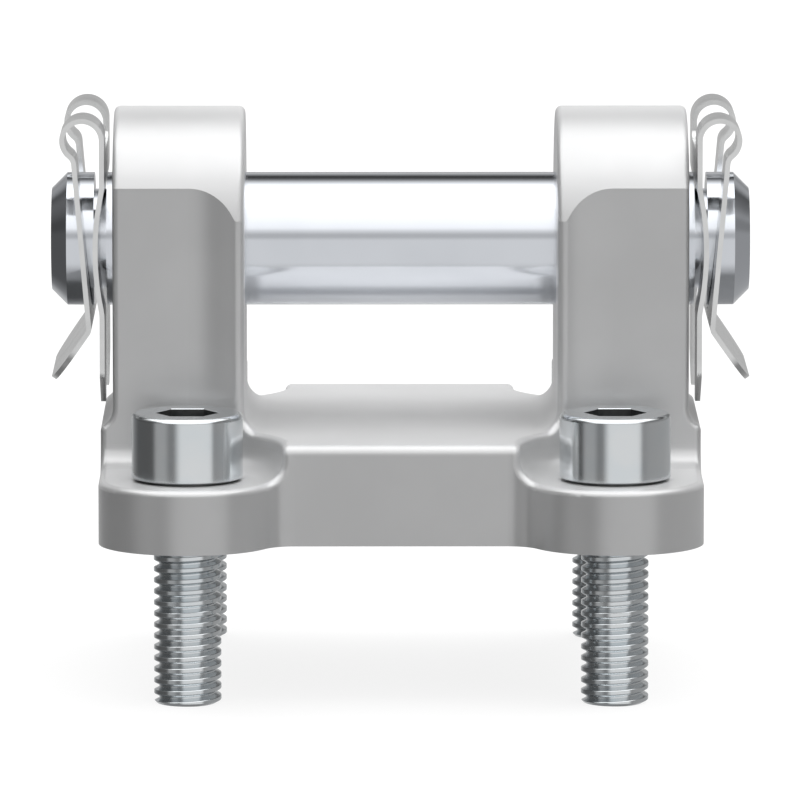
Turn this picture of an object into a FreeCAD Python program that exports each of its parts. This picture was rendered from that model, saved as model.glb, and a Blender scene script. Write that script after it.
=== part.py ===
import FreeCAD
import Part
import math
import os

# Rear clevis mounting for a pneumatic cylinder of 40 mm bore. Millimetres.
# The origin is the centre of the mounting face, +Z points from that face towards the ears,
# and X runs along the clevis pin.

# Cap screws, M6 by 20, one in each corner. The neck is plain inside the casting, and the thread
# starts where it comes out.
bolt_spacing = 38.0
screw_diameter = 6.0
screw_neck_diameter = 5.35
screw_length = 20.0
screw_point_chamfer = 0.5
head_diameter = 9.9
head_height = 6.0
head_top_round = 0.5
head_seat_chamfer = 0.2
socket_across_flats = 5.0
socket_depth = 3.0
socket_drill_angle = 118.0
socket_mouth_chamfer = 0.2
screw_hole_clearance = 0.3

# Base of the casting: a pad round each screw, joined by a thicker middle
pad_rim = 2.95
pad_height = 5.7
base_height = 9.0
waist_depth = 42.4
waist_blend_radius = 3.0
middle_edge_round = 0.95
pad_edge_round = 0.6

# Pockets above the pads, which let the screw heads and a key in
head_clearance = 1.5
pocket_floor_fillet = 2.0

# Ears of the casting
pin_height = 25.0
ear_gap = 28.0
ear_side_step = 1.1
nose_radius = 12.0
ear_flank_inset = 0.35
ear_root_fillet = 1.9
ear_inner_round = 0.6
ear_outer_round = 0.55

# Clevis pin
pin_diameter = 12.0
bore_clearance = 0.03
pin_shoulder = 0.65
pin_tail = 3.85
pin_end_chamfer = 1.4
groove_depth = 1.5

# Retaining clips, bent from spring strip: a forked inner leg that sits in the pin's groove,
# a loop at the top, and an outer leg with a hole for the pin's end and a turned-out lip
clip_thickness = 0.45
clip_side_wall = 4.3
groove_side_clearance = 0.05
fork_clearance = 0.1
hole_clearance = 0.45
clip_rise = 12.0
clip_tip_clearance = 2.0
bow_depth = 0.6
bow_kink_radius = 4.0
loop_radius = 1.77
loop_overturn_angle = 52.0
neck_radius = 1.0
outer_leg_lean_angle = 5.0
lip_bend_drop = 6.85
lip_bend_radius = 0.7
lip_angle = 35.0
lip_length = 5.45
lip_corner_radius = 4.0
window_width = 10.4
window_drop = 3.2
window_corner_radius = 0.8
fork_tip_width = 1.8
fork_tip_slant = 2.85
fork_corner_radius = 1.0

# Sizes that follow from the ones above
screw_reach = bolt_spacing / 2
head_radius = head_diameter / 2
pad_radius = head_radius + pad_rim
pocket_radius = head_radius + head_clearance + pocket_floor_fillet
base_side = screw_reach + pad_radius
waist = waist_depth / 2
ear_inside = ear_gap / 2
ear_outside = base_side - ear_side_step
clevis_width = 2 * ear_outside
ear_half_depth = nose_radius - ear_flank_inset
nose_top = pin_height + nose_radius
pin_radius = pin_diameter / 2
groove_radius = pin_radius - groove_depth
groove_width = clip_thickness + bow_depth + 2 * groove_side_clearance
groove_start = ear_outside + pin_shoulder
groove_end = groove_start + groove_width
pin_half_length = groove_end + pin_tail
clip_hole_radius = pin_radius + hole_clearance
clip_half_width = clip_hole_radius + clip_side_wall
clip_drop = pin_height - base_height - clip_tip_clearance
fork_half_width = groove_radius + fork_clearance

# Lengths by which a cutting tool stands out of what it cuts, and the smallest length that counts
overrun = 5.0
tiny = 1e-4


def vector(x, y, z):
    return FreeCAD.Vector(x, y, z)


def line(start, end):
    return Part.LineSegment(vector(*start), vector(*end)).toShape()


def arc(start, middle, end):
    return Part.Arc(vector(*start), vector(*middle), vector(*end)).toShape()


def prism(edges, direction):
    face = Part.Face(Part.Wire(Part.__sortEdges__(edges)))
    return face.extrude(vector(*direction))


def polygon_prism(points, direction):
    corners = [vector(*point) for point in points]
    return Part.Face(Part.makePolygon(corners + corners[:1])).extrude(vector(*direction))


def mirror_x(shape):
    return shape.mirror(vector(0, 0, 0), vector(1, 0, 0))


def mirror_y(shape):
    return shape.mirror(vector(0, 0, 0), vector(0, 1, 0))


def corners():
    return [(side, end) for side in (-1, 1) for end in (-1, 1)]


# Plan of the base: seen from above, one corner runs from the middle of the front face,
# through the hollow blend and round the pad, to the middle of the side
def outline_corner(side, end):
    blend_y = waist + waist_blend_radius
    reach = pad_radius + waist_blend_radius
    blend_x = screw_reach - math.sqrt(reach ** 2 - (blend_y - screw_reach) ** 2)
    meet_angle = math.atan2(blend_y - screw_reach, blend_x - screw_reach)

    def around_pad(angle):
        x = screw_reach + pad_radius * math.cos(angle)
        y = screw_reach + pad_radius * math.sin(angle)
        return (side * x, end * y, 0)

    def around_blend(angle):
        x = blend_x + waist_blend_radius * math.cos(angle)
        y = blend_y + waist_blend_radius * math.sin(angle)
        return (side * x, end * y, 0)

    blend_start = -math.pi / 2
    blend_end = meet_angle - math.pi
    blend_middle = (blend_start + blend_end) / 2
    return [
        line((0, end * waist, 0), around_blend(blend_start)),
        arc(around_blend(blend_start), around_blend(blend_middle), around_blend(blend_end)),
        arc(around_pad(meet_angle), around_pad(meet_angle / 2), around_pad(0)),
        line(around_pad(0), (side * base_side, 0, 0)),
    ]


def make_outline_prism():
    edges = []
    for side, end in corners():
        edges += outline_corner(side, end)
    return prism(edges, (0, 0, nose_top + overrun)).removeSplitter()


# One ear: straight flanks and a round nose about the pin, with its inner edges rounded
def make_ear(side):
    root = base_height / 2
    flank_top = pin_height + math.sqrt(nose_radius ** 2 - ear_half_depth ** 2)
    x = ear_inside
    front_root, front_top = (x, -ear_half_depth, root), (x, -ear_half_depth, flank_top)
    back_root, back_top = (x, ear_half_depth, root), (x, ear_half_depth, flank_top)
    edges = [
        line(front_root, front_top),
        arc(front_top, (x, 0, nose_top), back_top),
        line(back_top, back_root),
        line(back_root, front_root),
    ]
    ear = prism(edges, (ear_outside - ear_inside, 0, 0))
    inner_edges = [
        edge for edge in ear.Edges
        if edge.BoundBox.XMax < ear_inside + tiny and edge.BoundBox.ZMax > root + tiny
    ]
    ear = ear.makeFillet(ear_inner_round, inner_edges)
    return ear if side > 0 else mirror_x(ear)


def is_level(edge, height):
    return abs(edge.BoundBox.ZMin - height) < tiny and abs(edge.BoundBox.ZMax - height) < tiny


# The space above one pad: round behind the screw, open to the front or back and to the side,
# with a fillet round its floor
def make_pocket(side, end):
    depth = nose_top + overrun - pad_height
    near = screw_reach - pocket_radius
    far = base_side + 2 * pocket_radius
    round_part = Part.makeCylinder(
        pocket_radius, depth, vector(screw_reach, screw_reach, pad_height)
    )
    side_part = Part.makeBox(
        far - screw_reach, far - near, depth, vector(screw_reach, near, pad_height)
    )
    end_part = Part.makeBox(
        far - near, far - screw_reach, depth, vector(near, screw_reach, pad_height)
    )
    pocket = round_part.fuse([side_part, end_part]).removeSplitter()
    floor_edges = [
        edge for edge in pocket.Edges
        if is_level(edge, pad_height)
        and edge.BoundBox.XMin < far - tiny and edge.BoundBox.YMin < far - tiny
    ]
    pocket = pocket.makeFillet(pocket_floor_fillet, floor_edges)
    if side < 0:
        pocket = mirror_x(pocket)
    return pocket if end > 0 else mirror_y(pocket)


# A point near the middle of a face, and the direction the face looks there
def face_middle(face):
    u_low, u_high, v_low, v_high = face.ParameterRange
    u, v = (u_low + u_high) / 2, (v_low + v_high) / 2
    return face.valueAt(u, v), face.normalAt(u, v)


# Edges where a face of one kind meets a face that isn't of that kind, nor of the barred kind
def border_edges(shape, kind, barred):
    found = []
    for edge in shape.Edges:
        faces = shape.ancestorsOfType(edge, Part.Face)
        others = [face for face in faces if not kind(face)]
        if len(others) == len(faces) - 1 and not any(barred(face) for face in others):
            found.append(edge)
    return found


# The casting: base and ears in one piece, pockets, rounded edges, pin bore and screw holes
def make_clevis_body():
    block_side = base_side + overrun
    body = Part.makeBox(
        2 * block_side, 2 * block_side, base_height, vector(-block_side, -block_side, 0)
    )
    body = body.fuse([make_ear(-1), make_ear(1)]).removeSplitter()
    root_edges = [
        edge for edge in body.Edges
        if is_level(edge, base_height) and abs(edge.CenterOfMass.x) < block_side - tiny
        and abs(edge.CenterOfMass.y) < block_side - tiny
    ]
    body = body.makeFillet(ear_root_fillet, root_edges)
    outline = make_outline_prism()
    body = body.common(outline)
    body = body.cut([make_pocket(side, end) for side, end in corners()]).Solids[0]

    walls = Part.Shell([face for face in outline.Faces if face.BoundBox.ZLength > tiny])

    def on_wall(face):
        point, normal = face_middle(face)
        return abs(normal.z) < tiny and walls.distToShape(Part.Vertex(point))[0] < tiny

    def on_underside(face):
        return face.BoundBox.ZMax < tiny

    def on_ear_side(face):
        return face.BoundBox.XLength < tiny and abs(abs(face.BoundBox.XMin) - ear_outside) < tiny

    def on_base_top(face):
        return face.BoundBox.ZLength < tiny and abs(face.BoundBox.ZMin - base_height) < tiny

    def near_base(face):
        return face.BoundBox.ZMax < base_height + ear_root_fillet + tiny

    # The rounds go on in three steps: front and back edge of the middle, ears, then the rest
    middle_edges = [
        edge for edge in border_edges(body, on_base_top, lambda face: not on_wall(face))
        if abs(edge.CenterOfMass.y) > ear_half_depth + ear_root_fillet
    ]
    body = body.makeFillet(middle_edge_round, middle_edges)
    body = body.makeFillet(ear_outer_round, border_edges(body, on_ear_side, near_base))
    outline_edges = [
        edge for edge in border_edges(body, on_wall, on_underside)
        if not is_level(edge, base_height - middle_edge_round)
    ]
    body = body.makeFillet(pad_edge_round, outline_edges)

    bore_radius = pin_radius + bore_clearance
    bore_start = vector(-ear_outside - overrun, 0, pin_height)
    body = body.cut(
        Part.makeCylinder(bore_radius, clevis_width + 2 * overrun, bore_start, vector(1, 0, 0))
    )
    hole_radius = screw_diameter / 2 + screw_hole_clearance
    holes = [
        Part.makeCylinder(
            hole_radius, base_height + 2 * overrun,
            vector(side * screw_reach, end * screw_reach, -overrun)
        )
        for side, end in corners()
    ]
    return body.cut(holes).Solids[0]


# The pin: a turned bar with a groove for each clip and bevelled ends
def make_clevis_pin():
    right_half = [
        (groove_start, pin_radius),
        (groove_start, groove_radius),
        (groove_end, groove_radius),
        (groove_end, pin_radius),
        (pin_half_length - pin_end_chamfer, pin_radius),
        (pin_half_length, pin_radius - pin_end_chamfer),
        (pin_half_length, 0),
    ]
    left_half = [(-x, radius) for x, radius in reversed(right_half)]
    points = [vector(x, 0, pin_height + radius) for x, radius in left_half + right_half]
    profile = Part.Face(Part.makePolygon(points + points[:1]))
    return profile.revolve(vector(0, 0, pin_height), vector(1, 0, 0), 360)


# Centreline of the right-hand clip, as moves in the XZ plane from the fork's tips upwards.
# A move is (length, None) for a straight run or (radius, angle) for a bend, and a positive
# angle turns away from the ears. Each named stretch becomes one piece of strip.
def clip_moves():
    half_bow = pin_radius
    bow_angle = 2 * math.degrees(math.atan(bow_depth / half_bow))
    bow_radius = half_bow / math.sin(math.radians(bow_angle)) - bow_kink_radius
    loop_drop = loop_radius + clip_thickness / 2
    inner_leg = [
        (clip_drop - half_bow, None),
        (bow_kink_radius, bow_angle),
        (bow_radius, -2 * bow_angle),
        (bow_kink_radius, bow_angle),
        (clip_rise - loop_drop - half_bow, None),
    ]
    loop = [
        (loop_radius, 180 + loop_overturn_angle),
        (neck_radius, outer_leg_lean_angle - loop_overturn_angle),
    ]
    overturn = math.radians(loop_overturn_angle)
    lean = math.radians(outer_leg_lean_angle)
    neck_bottom = clip_rise - loop_drop - loop_radius * math.sin(overturn)
    neck_bottom -= neck_radius * (math.sin(overturn) - math.sin(lean))
    outer_leg = [
        ((neck_bottom + lip_bend_drop) / math.cos(lean), None),
        (lip_bend_radius, -outer_leg_lean_angle - lip_angle),
        (lip_length, None),
    ]
    return inner_leg, loop, outer_leg


# Follows the moves from a point and heading, where heading 0 is up and 90 points outwards.
# Gives the strip's solid, with the point and heading at its far end.
def bend_strip(moves, x, z, heading):
    half = clip_thickness / 2
    outer_edges, inner_edges = [], []

    def beside(x, z, heading, offset):
        angle = math.radians(heading)
        return (x + offset * math.cos(angle), -clip_half_width, z - offset * math.sin(angle))

    start = (x, z, heading)
    for size, angle in moves:
        if angle is None:
            next_x = x + size * math.sin(math.radians(heading))
            next_z = z + size * math.cos(math.radians(heading))
            for edges, offset in ((outer_edges, half), (inner_edges, -half)):
                edges.append(line(beside(x, z, heading, offset),
                                  beside(next_x, next_z, heading, offset)))
            x, z = next_x, next_z
        else:
            way = 1 if angle > 0 else -1
            centre_x, _, centre_z = beside(x, z, heading, way * size)
            for edges, offset in ((outer_edges, half), (inner_edges, -half)):
                points = [
                    beside(centre_x, centre_z, heading + turn, offset - way * size)
                    for turn in (0, angle / 2, angle)
                ]
                edges.append(arc(*points))
            heading += angle
            x, _, z = beside(centre_x, centre_z, heading, -way * size)
    caps = [
        line(beside(*start, half), beside(*start, -half)),
        line(beside(x, z, heading, half), beside(x, z, heading, -half)),
    ]
    solid = prism(outer_edges + inner_edges + caps, (0, 2 * clip_half_width, 0))
    return solid, x, z, heading


# Short edges through the strip at its two side faces, next to a given end
def strip_corners(solid, x, z):
    reach = clip_thickness
    return [
        edge for edge in solid.Edges
        if abs(abs(edge.CenterOfMass.y) - clip_half_width) < tiny
        and edge.Length < clip_thickness + tiny
        and math.hypot(edge.CenterOfMass.x - x, edge.CenterOfMass.z - z) < reach
    ]


def make_clip():
    inner_moves, loop_moves, outer_moves = clip_moves()
    leg_x = groove_start + groove_side_clearance + clip_thickness / 2
    tip_z = pin_height - clip_drop
    inner_leg, x, z, heading = bend_strip(inner_moves, leg_x, tip_z, 0)
    window_floor = z - window_drop + loop_radius
    loop, x, z, heading = bend_strip(loop_moves, x, z, heading)
    outer_leg, x, z, heading = bend_strip(outer_moves, x, z, heading)
    outer_leg = outer_leg.makeFillet(lip_corner_radius, strip_corners(outer_leg, x, z))

    # The fork: a slot as wide as the groove's root, closed by an arc about the pin
    left, length = leg_x - overrun, 2 * overrun
    across = vector(1, 0, 0)
    slot = Part.makeBox(
        length, 2 * fork_half_width, clip_drop + overrun,
        vector(left, -fork_half_width, tip_z - overrun)
    )
    slot_end = Part.makeCylinder(fork_half_width, length, vector(left, 0, pin_height), across)
    inner_leg = inner_leg.cut([slot, slot_end])
    flat_end = fork_half_width + fork_tip_width
    slant = polygon_prism(
        [(left, flat_end, tip_z - tiny), (left, clip_half_width + tiny, tip_z + fork_tip_slant),
         (left, clip_half_width + tiny, tip_z - tiny)],
        (length, 0, 0),
    )
    inner_leg = inner_leg.cut([slant, mirror_y(slant)])
    slant_corners = [
        edge for edge in inner_leg.Edges
        if abs(abs(edge.CenterOfMass.y) - clip_half_width) < 2 * tiny
        and abs(edge.CenterOfMass.z - tip_z - fork_tip_slant) < 2 * tiny
        and edge.BoundBox.XLength > clip_thickness - tiny
    ]
    inner_leg = inner_leg.makeFillet(fork_corner_radius, slant_corners)

    # The window: it starts on the inner leg, passes over the loop and opens into the round hole
    window_length = clip_rise + pin_height + overrun - window_floor
    window = Part.makeBox(
        length, window_width, window_length, vector(left, -window_width / 2, window_floor)
    )
    floor_corners = [
        edge for edge in window.Edges
        if is_level(edge, window_floor) and edge.BoundBox.XLength > tiny
    ]
    window = window.makeFillet(window_corner_radius, floor_corners)
    inner_leg = inner_leg.cut(window)
    outer_window = Part.makeBox(
        2 * length, window_width, window_length + clip_rise,
        vector(leg_x - length, -window_width / 2, pin_height)
    )
    loop = loop.cut(outer_window)
    hole = Part.makeCylinder(
        clip_hole_radius, 2 * length, vector(leg_x - length, 0, pin_height), across
    )
    outer_leg = outer_leg.cut([outer_window, hole])
    return inner_leg.fuse([loop, outer_leg]).removeSplitter().Solids[0]


def make_cap_screw(side, end):
    x, y = side * screw_reach, end * screw_reach
    seat, top, tip = pad_height, pad_height + head_height, pad_height - screw_length
    head = Part.makeCylinder(head_radius, head_height, vector(x, y, seat))
    head = head.makeFillet(head_top_round, [edge for edge in head.Edges if is_level(edge, top)])
    head = head.makeChamfer(head_seat_chamfer, [edge for edge in head.Edges if is_level(edge, seat)])
    neck = Part.makeCylinder(screw_neck_diameter / 2, pad_height, vector(x, y, 0))
    thread = Part.makeCylinder(screw_diameter / 2, screw_length - pad_height, vector(x, y, tip))
    thread = thread.makeChamfer(
        screw_point_chamfer, [edge for edge in thread.Edges if is_level(edge, tip)]
    )
    corner_radius = socket_across_flats / 2 / math.cos(math.radians(30))
    floor = top - socket_depth
    hexagon = [
        (x + corner_radius * math.cos(math.radians(60 * step)),
         y + corner_radius * math.sin(math.radians(60 * step)), floor)
        for step in range(6)
    ]
    socket = polygon_prism(hexagon, (0, 0, socket_depth + overrun))
    drill_radius = socket_across_flats / 2
    drill_depth = drill_radius / math.tan(math.radians(socket_drill_angle / 2))
    drill = Part.makeCone(0, drill_radius, drill_depth, vector(x, y, floor - drill_depth))
    screw = head.fuse([neck, thread]).cut([socket, drill]).removeSplitter().Solids[0]
    mouth_edges = [
        edge for edge in screw.Edges
        if is_level(edge, top) and edge.Length < corner_radius + tiny
    ]
    return screw.makeChamfer(socket_mouth_chamfer, mouth_edges).Solids[0]


def build():
    right_clip = make_clip()
    nodes = {
        "clevis_body": make_clevis_body(),
        "clevis_pin": make_clevis_pin(),
        "right_clip": right_clip,
        "left_clip": mirror_x(right_clip),
    }
    for side, side_name in ((-1, "left"), (1, "right")):
        for end, end_name in ((-1, "front"), (1, "back")):
            nodes[f"{end_name}_{side_name}_cap_screw"] = make_cap_screw(side, end)
    os.makedirs("parts", exist_ok=True)
    for name, shape in nodes.items():
        shape.exportStep(os.path.join("parts", name + ".step"))
        print(f"{name}: {len(shape.Solids)} solid, {shape.Volume:.2f} mm3, valid {shape.isValid()}")


build()
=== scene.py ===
import math

import bmesh
import bpy
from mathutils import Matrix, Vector


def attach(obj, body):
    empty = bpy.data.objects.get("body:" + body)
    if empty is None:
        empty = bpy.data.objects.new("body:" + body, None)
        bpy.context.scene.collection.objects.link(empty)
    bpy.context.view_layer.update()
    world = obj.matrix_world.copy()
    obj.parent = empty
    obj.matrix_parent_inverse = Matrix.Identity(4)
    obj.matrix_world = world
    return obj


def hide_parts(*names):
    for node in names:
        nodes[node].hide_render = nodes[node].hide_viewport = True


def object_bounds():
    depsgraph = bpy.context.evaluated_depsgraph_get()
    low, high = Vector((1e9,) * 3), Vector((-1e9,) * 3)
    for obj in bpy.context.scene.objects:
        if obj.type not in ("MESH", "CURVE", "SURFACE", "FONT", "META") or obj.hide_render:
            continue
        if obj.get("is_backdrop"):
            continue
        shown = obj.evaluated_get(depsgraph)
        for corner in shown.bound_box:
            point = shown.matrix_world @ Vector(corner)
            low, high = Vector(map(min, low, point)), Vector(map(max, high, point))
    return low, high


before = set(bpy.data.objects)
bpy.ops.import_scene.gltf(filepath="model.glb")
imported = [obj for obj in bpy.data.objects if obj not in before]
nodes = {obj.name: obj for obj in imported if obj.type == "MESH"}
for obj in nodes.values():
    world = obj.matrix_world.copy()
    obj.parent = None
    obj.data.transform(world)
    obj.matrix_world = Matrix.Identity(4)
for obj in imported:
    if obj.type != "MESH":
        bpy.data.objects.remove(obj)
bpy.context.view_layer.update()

mm = 0.001


# a wire is one output of a node, and an expression on wires adds its own nodes
class Wire:
    def __init__(self, tree, socket=None):
        self.tree = tree
        self.socket = socket

    # adds any node: settings first, then the values or links of its sockets
    def node(self, kind, settings=None, inputs=None, output=0):
        made = self.tree.nodes.new(kind)
        for name, value in (settings or {}).items():
            if name == "stops":
                setStops(made.color_ramp, value)
            else:
                setattr(made, name, value)
        for name, value in (inputs or {}).items():
            if isinstance(value, Wire):
                self.tree.links.new(value.socket, made.inputs[name])
            else:
                made.inputs[name].default_value = value
        return Wire(self.tree, made.outputs[output] if len(made.outputs) else None)

    # another output of the same node
    def outlet(self, name):
        return Wire(self.tree, self.socket.node.outputs[name])

    def math(self, operation, *values):
        return self.node("ShaderNodeMath", {"operation": operation}, dict(enumerate(values)))

    def __add__(self, other):
        return self.math("ADD", self, other)

    def __radd__(self, other):
        return self.math("ADD", other, self)

    def __sub__(self, other):
        return self.math("SUBTRACT", self, other)

    def __rsub__(self, other):
        return self.math("SUBTRACT", other, self)

    def __mul__(self, other):
        return self.math("MULTIPLY", self, other)

    def __rmul__(self, other):
        return self.math("MULTIPLY", other, self)

    def __truediv__(self, other):
        return self.math("DIVIDE", self, other)

    def __rtruediv__(self, other):
        return self.math("DIVIDE", other, self)

    def __neg__(self):
        return self.math("MULTIPLY", self, -1.0)

    def either(self, other):
        return self.math("MAXIMUM", self, other)

    # 0 below low, 1 above high, eased between
    def step(self, low, high):
        return self.node("ShaderNodeMapRange", {"interpolation_type": "SMOOTHSTEP"},
                         {"Value": self, "From Min": low, "From Max": high})

    # a noise lies round 0.5: this moves it round 0, over the given range
    def sway(self, spread):
        return (self - 0.5) * spread

    def blend(self, first, second):
        return self.node("ShaderNodeMix", {"data_type": "RGBA"}, {0: self, 6: first, 7: second}, 2)

    def mixShaders(self, first, second):
        return self.node("ShaderNodeMixShader", {}, {0: self, 1: first, 2: second})

    def noise(self, scale, detail=2.0, roughness=0.5):
        return self.node("ShaderNodeTexNoise", {},
                         {"Vector": self, "Scale": scale, "Detail": detail, "Roughness": roughness})

    # a place stretched to these sizes in mm, for a noise of scale 1
    def stretched(self, x, y, z):
        return self.node("ShaderNodeMapping", {},
                         {"Vector": self, "Scale": (scaleOf(x), scaleOf(y), scaleOf(z))})

    def bump(self, depth):
        return self.node("ShaderNodeBump", {}, {"Height": self, "Distance": depth * mm})


# the scale of a noise whose grains are this many mm across
def scaleOf(size):
    return 1 / (size * mm)


def setStops(ramp, stops):
    while len(ramp.elements) > 1:
        ramp.elements.remove(ramp.elements[-1])
    first = ramp.elements[0]
    first.position, first.color = stops[0][0], grey(stops[0][1])
    for position, level in stops[1:]:
        ramp.elements.new(position).color = grey(level)


def grey(level):
    return (level, level, level, 1.0)


# empties a material or a world and gives its coordinates
def startNodes(owner, coordinates):
    owner.use_nodes = True
    owner.node_tree.nodes.clear()
    return Wire(owner.node_tree).node("ShaderNodeTexCoord", output=coordinates)


def startMaterial(name):
    material = bpy.data.materials.new(name)
    return material, startNodes(material, "Object")


def finishMaterial(place, sockets):
    surface = place.node("ShaderNodeBsdfPrincipled", {}, sockets)
    place.node("ShaderNodeOutputMaterial", {}, {"Surface": surface})


# metals: sizes and depths in mm, a band is where a pattern turns from the first colour to the second
castFinish = {
    "colour": (0.6, 0.602, 0.605, 1.0),
    "paleColour": (0.63, 0.632, 0.635, 1.0),
    "metal": 0.4,               # the blasted skin scatters the rest of the light
    "roughness": 0.3,
    "cloudSize": 9.0,           # slow changes over the casting
    "cloudBand": (0.3, 0.7),
    "cloudRoughness": 0.05,
    "grainSize": 0.16,          # fine blasted grain
    "grainDepth": 0.0015,
    "grainRoughness": 0.04,
}


def makeCastAluminium(look):
    material, place = startMaterial("blastedCastAluminium")
    cloud = place.noise(scaleOf(look["cloudSize"]), detail=3.0)
    grain = place.noise(scaleOf(look["grainSize"]), detail=2.0, roughness=0.6)
    roughness = look["roughness"] + cloud.sway(look["cloudRoughness"]) + grain.sway(look["grainRoughness"])
    finishMaterial(place, {
        "Base Color": cloud.step(*look["cloudBand"]).blend(look["colour"], look["paleColour"]),
        "Metallic": look["metal"],
        "Roughness": roughness,
        "Normal": grain.bump(look["grainDepth"]),
    })
    return material


pinFinish = {
    "colour": (0.74, 0.765, 0.81, 1.0),
    "darkColour": (0.71, 0.735, 0.78, 1.0),
    "roughness": 0.1,
    "grindWidth": 0.09,         # of a grinding line round the pin
    "grindLength": 9.0,
    "grindDepth": 0.0012,
    "grindRoughness": 0.03,
    "smearSize": 7.0,
    "smearBand": (0.35, 0.75),
    "smearRoughness": 0.02,
}


def makeGroundSteel(look):
    material, place = startMaterial("groundPinSteel")
    ground = place.stretched(look["grindWidth"], look["grindLength"], look["grindLength"])
    lines = ground.noise(1.0, detail=2.0)
    smear = place.noise(scaleOf(look["smearSize"]), detail=2.0)
    finishMaterial(place, {
        "Base Color": smear.step(*look["smearBand"]).blend(look["colour"], look["darkColour"]),
        "Metallic": 1.0,
        "Roughness": look["roughness"] + lines * look["grindRoughness"] + smear * look["smearRoughness"],
        "Normal": lines.bump(look["grindDepth"]),
    })
    return material


clipFinish = {
    "colour": (0.78, 0.785, 0.785, 1.0),
    "darkColour": (0.70, 0.705, 0.705, 1.0),
    "roughness": 0.17,
    "rollThrough": 3.0,
    "rollWidth": 0.12,          # of a rolling line along the strip
    "rollLength": 9.0,
    "rollDepth": 0.002,
    "rollRoughness": 0.06,
    "stainSize": 4.0,
    "stainBand": (0.4, 0.7),
    "stainRoughness": 0.04,
}


def makeSpringSteel(look):
    material, place = startMaterial("rolledSpringSteel")
    rolled = place.stretched(look["rollThrough"], look["rollWidth"], look["rollLength"])
    lines = rolled.noise(1.0, detail=3.0)
    stain = place.noise(scaleOf(look["stainSize"]), detail=3.0)
    finishMaterial(place, {
        "Base Color": stain.step(*look["stainBand"]).blend(look["colour"], look["darkColour"]),
        "Metallic": 1.0,
        "Roughness": look["roughness"] + lines * look["rollRoughness"] + stain * look["stainRoughness"],
        "Normal": lines.bump(look["rollDepth"]),
    })
    return material


zincFinish = {
    "colour": (0.78, 0.805, 0.82, 1.0),
    "blueColour": (0.745, 0.785, 0.81, 1.0),
    "roughness": 0.17,
    "cloudSize": 3.0,
    "cloudBand": (0.35, 0.7),
    "spangleSize": 0.5,         # faint crystals of the plating
    "spangleDepth": 0.0015,
    "spangleRoughness": 0.06,
}


def makeZincPlate(look):
    material, place = startMaterial("blueZincPlate")
    spangle = place.noise(scaleOf(look["spangleSize"]), detail=3.0)
    cloud = place.noise(scaleOf(look["cloudSize"]), detail=2.0)
    finishMaterial(place, {
        "Base Color": cloud.step(*look["cloudBand"]).blend(look["colour"], look["blueColour"]),
        "Metallic": 1.0,
        "Roughness": look["roughness"] + spangle.sway(look["spangleRoughness"]),
        "Normal": spangle.bump(look["spangleDepth"]),
    })
    return material


# painted shade: a near-black material for the key socket and the gap under the head, where only shade
# falls
recessShadeFinish = {
    "colour": (0.085, 0.09, 0.09, 1.0),
    "paleShadeColour": (0.12, 0.125, 0.125, 1.0),
    "metal": 0.8,
    "roughness": 0.35,
    "mottleSize": 0.8,
    "mottleBand": (0.35, 0.7),
    "mottleRoughness": 0.1,
}


# the painted shade varies a little at random over the recess faces
def makePaintedShadeRecess(look):
    material, place = startMaterial("paintedShadeRecess")
    shadeMottle = place.noise(scaleOf(look["mottleSize"]), detail=3.0)
    finishMaterial(place, {
        "Base Color": shadeMottle.step(*look["mottleBand"]).blend(look["colour"], look["paleShadeColour"]),
        "Metallic": look["metal"],
        "Roughness": look["roughness"] + shadeMottle.sway(look["mottleRoughness"]),
    })
    return material


castAluminium = makeCastAluminium(castFinish)
groundSteel = makeGroundSteel(pinFinish)
springSteel = makeSpringSteel(clipFinish)
zincPlate = makeZincPlate(zincFinish)
paintedShadeRecess = makePaintedShadeRecess(recessShadeFinish)
print("metals made")


# modelling helpers
nearby = 1e-4                   # mm, closer points count as one
flatFacing = 0.99               # a face whose normal goes this far up or down counts as level
hexCorner = math.radians(30)    # from the middle of a hexagon's side to its corner


def nothingSelected():
    if bpy.context.mode != "OBJECT":
        bpy.ops.object.mode_set(mode="OBJECT")
    bpy.ops.object.select_all(action="DESELECT")


def selectOnly(piece):
    nothingSelected()
    piece.select_set(True)
    bpy.context.view_layer.objects.active = piece


def editOn():
    bpy.ops.object.mode_set(mode="EDIT")


def editOff():
    bpy.ops.object.mode_set(mode="OBJECT")


def pickFaces(test):
    bpy.ops.mesh.select_all(action="DESELECT")
    bpy.ops.mesh.select_mode(type="FACE")
    mesh = bmesh.from_edit_mesh(bpy.context.object.data)
    for face in mesh.faces:
        face.select_set(test(face))
    bmesh.update_edit_mesh(bpy.context.object.data)


# the round edges that lie at this height
def pickRim(height):
    bpy.ops.mesh.select_all(action="DESELECT")
    bpy.ops.mesh.select_mode(type="EDGE")
    mesh = bmesh.from_edit_mesh(bpy.context.object.data)
    for edge in mesh.edges:
        edge.select_set(all(abs(corner.co.z - height) < nearby for corner in edge.verts))
    bmesh.update_edit_mesh(bpy.context.object.data)


def combine(piece, tool, operation):
    selectOnly(piece)
    modifier = piece.modifiers.new(operation, "BOOLEAN")
    modifier.operation = operation
    modifier.solver = "EXACT"
    modifier.object = tool
    bpy.ops.object.modifier_apply(modifier=modifier.name)
    bpy.data.objects.remove(tool)


def smoothByAngle(piece, degrees):
    selectOnly(piece)
    bpy.ops.object.shade_smooth_by_angle(angle=math.radians(degrees))
    modifier = piece.modifiers.new("even", "WEIGHTED_NORMAL")
    modifier.keep_sharp = True
    bpy.ops.object.modifier_apply(modifier=modifier.name)


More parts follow.
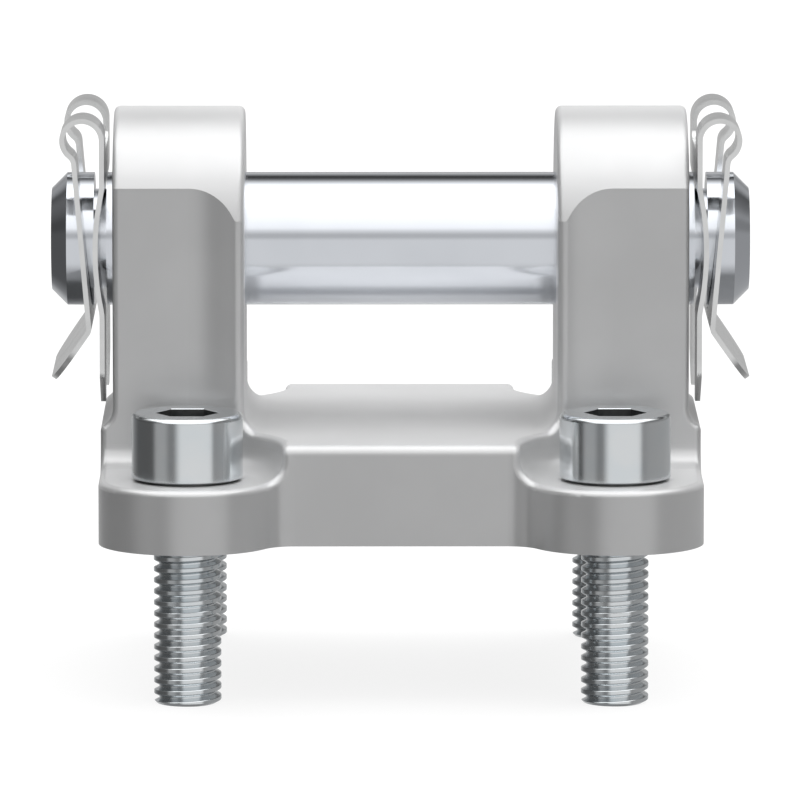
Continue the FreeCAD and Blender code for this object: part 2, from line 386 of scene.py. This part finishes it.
# cap screws, modelled in mm, with Z = 0 at the mounting face
capScrew = {
    "diameter": 6.0,
    "pitch": 1.0,
    "threadDepth": 0.47,
    "turnSteps": 56,
    "threadTop": 0.35,      # runs a little way up inside the casting
    "turnsBelow": 2,        # whole turns wound past the tip, and past the top, then cut off
    "turnsAbove": 1,
    "tip": -14.3,
    "tipChamfer": 0.3,
    "tipSpare": 0.3,        # the thread's raw end below the tip
    "blankMargin": 0.05,    # the tip's blank stands clear of the thread's crests
    "blankSpare": 1,
    "neckDiameter": 5.35,
    "neckEnd": 0.1,         # inside the top of the thread
    "headDiameter": 9.9,
    "headSides": 128,
    "seat": 5.7,
    "headTop": 11.7,
    "topRound": 0.5,
    "topRoundSteps": 6,
    "seatChamfer": 0.1,
    "washerDiameter": 8.9,  # the bearing face under the head leaves a thin gap round it, made dark with painted shade
    "washerHeight": 0.22,
    "acrossFlats": 5.0,
    "socketDepth": 3.0,
    "mouthChamfer": 0.05,
    "drillAngle": 118.0,
    "drillShare": 0.99,     # of the width across flats
    "drillSides": 64,
    "drillOverlap": 0.01,
    "shadeMargin": 0.01,      # how far past a recess its faces are looked for
    "neckMargin": 0.05,
    "smoothAngle": 28,
    "spacing": 38.0,
}

# one pitch of the thread: share of the pitch, share of the depth
threadShape = [
    (0.00, 0.00), (0.05, 0.00), (0.09, 0.07), (0.28, 0.84), (0.31, 0.95), (0.35, 1.00),
    (0.65, 1.00), (0.69, 0.95), (0.72, 0.84), (0.91, 0.07), (0.95, 0.00), (1.00, 0.00),
]


def makeThread(size):
    root = size["diameter"] / 2 - size["threadDepth"]
    start = size["tip"] - size["turnsBelow"] * size["pitch"]
    turns = math.ceil((size["threadTop"] - start) / size["pitch"]) + size["turnsAbove"]
    bpy.ops.mesh.primitive_plane_add(size=1, location=(0, 0, 0))
    thread = bpy.context.object
    editOn()
    bpy.ops.mesh.merge(type="CENTER")
    bpy.ops.transform.translate(value=(root, 0, start))
    for (fromAlong, fromHigh), (toAlong, toHigh) in zip(threadShape, threadShape[1:]):
        rise = ((toHigh - fromHigh) * size["threadDepth"], 0, (toAlong - fromAlong) * size["pitch"])
        bpy.ops.mesh.extrude_region_move(TRANSFORM_OT_translate={"value": rise})
    editOff()
    winding = thread.modifiers.new("winding", "SCREW")
    winding.axis = "Z"
    winding.screw_offset = size["pitch"]
    winding.iterations = turns
    winding.steps = winding.render_steps = size["turnSteps"]
    winding.use_smooth_shade = False
    bpy.ops.object.modifier_apply(modifier=winding.name)
    editOn()
    bpy.ops.mesh.select_all(action="SELECT")
    bpy.ops.mesh.remove_doubles(threshold=nearby)
    for height, outward in ((size["threadTop"], 1), (size["tip"] - size["tipSpare"], -1)):
        bpy.ops.mesh.select_all(action="SELECT")
        bpy.ops.mesh.bisect(plane_co=(0, 0, height), plane_no=(0, 0, outward), use_fill=True,
                            clear_outer=True)
    bpy.ops.mesh.select_all(action="SELECT")
    bpy.ops.mesh.normals_make_consistent(inside=False)
    editOff()
    return thread


# a turned blank with a chamfered tip, which the thread is trimmed to
def makeTipBlank(size):
    radius = size["diameter"] / 2 + size["blankMargin"]
    top = size["threadTop"] + size["blankSpare"]
    bpy.ops.mesh.primitive_cylinder_add(vertices=size["turnSteps"] * 2, radius=radius,
                                        depth=top - size["tip"], location=(0, 0, (top + size["tip"]) / 2))
    blank = bpy.context.object
    bpy.ops.object.transform_apply(location=True, rotation=False, scale=False)
    editOn()
    pickRim(size["tip"])
    bpy.ops.mesh.bevel(offset=size["tipChamfer"], segments=1, affect="EDGES")
    editOff()
    return blank


def makeHead(size):
    radius = size["headDiameter"] / 2
    washer = size["washerDiameter"] / 2
    underside = size["seat"] + size["washerHeight"]
    height = size["headTop"] - underside
    bpy.ops.mesh.primitive_cylinder_add(vertices=size["headSides"], radius=radius, depth=height,
                                        location=(0, 0, underside + height / 2))
    head = bpy.context.object
    bpy.ops.object.transform_apply(location=True, rotation=False, scale=False)
    editOn()
    pickRim(size["headTop"])
    bpy.ops.mesh.bevel(offset=size["topRound"], segments=size["topRoundSteps"], affect="EDGES")
    pickRim(underside)
    bpy.ops.mesh.bevel(offset=size["seatChamfer"], segments=1, affect="EDGES")
    pickFaces(lambda face: face.normal.z < -flatFacing)
    bpy.ops.mesh.inset(thickness=radius - size["seatChamfer"] - washer)
    bpy.ops.mesh.extrude_region_move(TRANSFORM_OT_translate={"value": (0, 0, -size["washerHeight"])})
    bpy.ops.mesh.inset(thickness=washer - size["neckDiameter"] / 2)
    neckFall = size["neckEnd"] - size["seat"]
    bpy.ops.mesh.extrude_region_move(TRANSFORM_OT_translate={"value": (0, 0, neckFall)})
    editOff()
    return head


# cutters for the head: a hexagon that flares at its mouth, and the drill's point below it
def makeSocketTools(size):
    corner = size["acrossFlats"] / 2 / math.cos(hexCorner)
    floor = size["headTop"] - size["socketDepth"]
    chamferStart = size["headTop"] - size["mouthChamfer"]
    bpy.ops.mesh.primitive_cylinder_add(vertices=6, radius=corner, depth=chamferStart - floor,
                                        location=(0, 0, (chamferStart + floor) / 2),
                                        rotation=(0, 0, hexCorner))
    key = bpy.context.object
    bpy.ops.object.transform_apply(location=True, rotation=True, scale=False)
    editOn()
    pickFaces(lambda face: face.normal.z > flatFacing)
    rise = 2 * size["mouthChamfer"]
    flare = 1 + rise / (size["acrossFlats"] / 2)
    bpy.ops.mesh.extrude_region_move(TRANSFORM_OT_translate={"value": (0, 0, rise)})
    bpy.ops.transform.resize(value=(flare, flare, 1), center_override=(0, 0, size["headTop"]))
    editOff()
    drillRadius = size["acrossFlats"] / 2 * size["drillShare"]
    drillDepth = drillRadius / math.tan(math.radians(size["drillAngle"] / 2))
    bpy.ops.mesh.primitive_cone_add(vertices=size["drillSides"], radius1=0, radius2=drillRadius,
                                    depth=drillDepth,
                                    location=(0, 0, floor + size["drillOverlap"] - drillDepth / 2))
    drill = bpy.context.object
    bpy.ops.object.transform_apply(location=True, rotation=False, scale=False)
    return key, drill


# the key socket and the gap under the head get painted shade: a near-black material where only shade falls
def paintShadeInRecesses(head, size):
    margin = size["shadeMargin"]
    socketReach = size["acrossFlats"] / 2 / math.cos(hexCorner) + margin
    socketTop = size["headTop"] - size["mouthChamfer"]
    neckReach = size["neckDiameter"] / 2 + size["neckMargin"]
    underside = size["seat"] + size["washerHeight"]

    def isRecess(face):
        middle = face.calc_center_median()
        reach = math.hypot(middle.x, middle.y)
        inSocket = reach < socketReach and middle.z < socketTop
        underHead = reach > neckReach and middle.z < underside + margin
        return middle.z > size["seat"] - margin and (inSocket or underHead)

    editOn()
    pickFaces(isRecess)
    # painted shade on the socket and under-head faces
    head.active_material_index = head.data.materials.find(paintedShadeRecess.name)
    bpy.ops.object.material_slot_assign()
    editOff()


def makeCapScrew(size):
    nothingSelected()
    thread = makeThread(size)
    combine(thread, makeTipBlank(size), "INTERSECT")
    head = makeHead(size)
    for tool in makeSocketTools(size):
        combine(head, tool, "DIFFERENCE")
    combine(head, thread, "UNION")
    selectOnly(head)
    head.data.materials.clear()
    head.data.materials.append(zincPlate)
    # the second material is the painted shade of the recesses
    head.data.materials.append(paintedShadeRecess)
    paintShadeInRecesses(head, size)
    head.scale = (mm, mm, mm)
    bpy.ops.object.transform_apply(location=False, rotation=False, scale=True)
    smoothByAngle(head, size["smoothAngle"])
    return head


def placeCapScrews(screw, size):
    reach = size["spacing"] / 2 * mm
    for endName, end in (("front", -1), ("back", 1)):
        for sideName, side in (("left", -1), ("right", 1)):
            selectOnly(screw)
            bpy.ops.object.duplicate(linked=False)
            copy = bpy.context.object
            copy.name = f"{endName}_{sideName}_screw"
            copy.location = (side * reach, end * reach, 0)
            bpy.ops.object.transform_apply(location=True, rotation=False, scale=False)
            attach(copy, "clevis")
            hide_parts(f"{endName}_{sideName}_cap_screw")
    bpy.data.objects.remove(screw)


placeCapScrews(makeCapScrew(capScrew), capScrew)
print("cap screws made")


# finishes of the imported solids
def finishNode(name, material):
    for materialSlot in nodes[name].material_slots:
        materialSlot.material = material


finishNode("clevis_body", castAluminium)
finishNode("clevis_pin", groundSteel)
for side in ("left", "right"):
    finishNode(f"{side}_clip", springSteel)
print("solids finished")


# the studio that the metals mirror, and that lights them: angles in degrees
studio = {
    "brightest": 2.0,             # the highest level in the two lists, which the ramps are scaled by
    "scattered": 0.4,             # share of a level that a ray from a matt surface meets
    "wallTop": (16.0, 25.0),      # above the horizon, where the walls end
    "overheadSide": (0.6, 0.85),  # how far the overhead light reaches to each side
    "sideLevel": 0.14,
    "seamBottom": (3.0, 9.0),     # a darker line below the overhead light
    "seamTop": (13.0, 18.0),
    "seamDepth": 0.3,
    "groundTop": (-75.0, -35.0),  # below the horizon, where the ground gives way to the walls
    "groundLevel": 0.25,
}

# round the horizon: angle from the camera's side, towards +X, and level there
wallLevels = [
    (-180, 0.6), (-160, 0.5), (-150, 0.36), (-141, 0.22), (-121, 0.1), (-75, 0.095), (-66, 0.37),
    (-46, 0.37), (-36, 0.215), (-27, 0.215), (-14, 0.78), (50, 0.78), (58, 0.27), (72, 0.33),
    (125, 0.36), (150, 0.4), (180, 0.6),
]

# over the top from the camera's side, 90 straight up, 180 the back horizon
overheadLevels = [
    (-180, 0.33), (-90, 0.3), (-30, 0.78), (17, 0.78), (22, 1.2), (55, 1.5), (72, 2.0), (102, 2.0),
    (113, 1.5), (120, 0.9), (130, 0.2), (136, 0.06), (145, 0.05), (151, 0.3), (158, 0.45), (180, 0.6),
]


def sines(angles):
    return [math.sin(math.radians(angle)) for angle in angles]


# the grey levels of a list, by the angle whose tangent is first over second
def levelsRound(first, second, levels, brightest):
    turn = first.math("ARCTAN2", first, second) / (2 * math.pi) + 0.5
    stops = [(angle / 360 + 0.5, level / brightest) for angle, level in levels]
    return turn.node("ShaderNodeValToRGB", {"stops": stops}, {"Fac": turn})


def makeWorld(look):
    world = bpy.data.worlds.new("studioWorld")
    bpy.context.scene.world = world
    direction = startNodes(world, "Generated")
    split = direction.node("ShaderNodeSeparateXYZ", {}, {"Vector": direction})
    x, y, z = (split.outlet(axis) for axis in "XYZ")
    front = -y
    brightest = look["brightest"]
    wall = levelsRound(x, front, wallLevels, brightest)
    over = levelsRound(z, front, overheadLevels, brightest)
    sideways = x.math("ABSOLUTE", x).step(*look["overheadSide"])
    over = sideways.blend(over, grey(look["sideLevel"] / brightest))
    seam = z.step(*sines(look["seamBottom"])) * (1 - z.step(*sines(look["seamTop"])))
    wall = (seam * look["seamDepth"]).blend(wall, grey(0.0))
    room = z.step(*sines(look["wallTop"])).blend(wall, over)
    room = z.step(*sines(look["groundTop"])).blend(grey(look["groundLevel"] / brightest), room)
    path = direction.node("ShaderNodeLightPath")
    eye, matt = path.outlet("Is Camera Ray"), path.outlet("Is Diffuse Ray")
    level = (1 - matt * (1 - look["scattered"])) * brightest
    lit = direction.node("ShaderNodeBackground", {}, {"Color": room, "Strength": level})
    seen = direction.node("ShaderNodeBackground", {}, {"Color": grey(1.0), "Strength": 1.0})
    direction.node("ShaderNodeOutputWorld", {}, {"Surface": eye.mixShaders(lit, seen)})


floorSheet = {
    "size": 6.0,            # m
    "divisions": 4,
    "glow": 0.86,           # share of the floor's white that shadows don't reach
    "paper": 0.14,
    "toothScale": 900.0,    # the paper's faint tooth
    "toothBand": (0.3, 0.7),
    "toothShade": 0.98,
    "bounce": 0.12,         # how much the floor lights the object from below
}


def makeFloor(look):
    nothingSelected()
    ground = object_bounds()[0][2]      # the screws' tips
    bpy.ops.mesh.primitive_grid_add(x_subdivisions=look["divisions"], y_subdivisions=look["divisions"],
                                    size=look["size"], location=(0, 0, ground))
    floor = bpy.context.object
    floor.name = "studio_floor"
    bpy.ops.object.transform_apply(location=True, rotation=False, scale=False)
    material, place = startMaterial("floorPaper")
    tooth = place.noise(look["toothScale"], detail=2.0).step(*look["toothBand"])
    shade = tooth.blend(grey(look["paper"] * look["toothShade"]), grey(look["paper"]))
    paper = place.node("ShaderNodeBsdfDiffuse", {}, {"Color": shade})
    glow = place.node("ShaderNodeEmission", {}, {"Color": grey(1.0), "Strength": look["glow"]})
    seenFloor = place.node("ShaderNodeAddShader", {}, {0: paper, 1: glow})
    pale = place.node("ShaderNodeBsdfDiffuse", {}, {"Color": grey(look["bounce"])})
    path = place.node("ShaderNodeLightPath")
    eye, shine = path.outlet("Is Camera Ray"), path.outlet("Is Glossy Ray")
    glass = path.outlet("Is Transmission Ray")
    surface = eye.either(shine.either(glass)).mixShaders(pale, seenFloor)
    place.node("ShaderNodeOutputMaterial", {}, {"Surface": surface})
    floor.data.materials.append(material)
    floor.visible_glossy = False
    floor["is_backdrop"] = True


# two soft lamps that the polished pieces don't mirror: places and sizes in m
lamps = {
    "front_lamp": {"place": (0.35, -0.5, 0.8), "size": 0.8, "watts": 1.8},
    "top_lamp": {"place": (0.1, 0.42, 0.96), "size": 2.2, "watts": 29.0},
}
lampAim = (0, 0, 0.02)


def makeLamp(name, look):
    bpy.ops.object.light_add(type="AREA", location=look["place"])
    lamp = bpy.context.object
    lamp.name = name
    lamp.data.shape = "DISK"
    lamp.data.size = look["size"]
    lamp.data.energy = look["watts"]
    lamp.rotation_euler = (Vector(lampAim) - lamp.location).to_track_quat("-Z", "Y").to_euler()
    lamp.visible_glossy = False
    lamp.visible_camera = False


# the photograph's viewpoint: a long lens from far away, nearly level
viewpoint = {
    "place": (-0.0036, -0.9246, 0.1353),
    "tilt": 82.297,         # degrees from straight down
    "turn": -0.221,
    "lens": 463.5,          # mm
    "sensor": 36.0,
    "nearest": 0.05,        # m
    "farthest": 50.0,
}


def makeCamera(look):
    camera = bpy.data.objects.new("camera", bpy.data.cameras.new("camera"))
    bpy.context.scene.collection.objects.link(camera)
    camera.data.sensor_width = look["sensor"]
    camera.data.lens = look["lens"]
    camera.data.clip_start = look["nearest"]
    camera.data.clip_end = look["farthest"]
    camera.location = look["place"]
    camera.rotation_euler = (math.radians(look["tilt"]), 0.0, math.radians(look["turn"]))
    bpy.context.scene.camera = camera


makeWorld(studio)
makeFloor(floorSheet)
for name, look in lamps.items():
    makeLamp(name, look)
makeCamera(viewpoint)
bpy.context.scene.view_settings.view_transform = "Standard"
print("studio made")
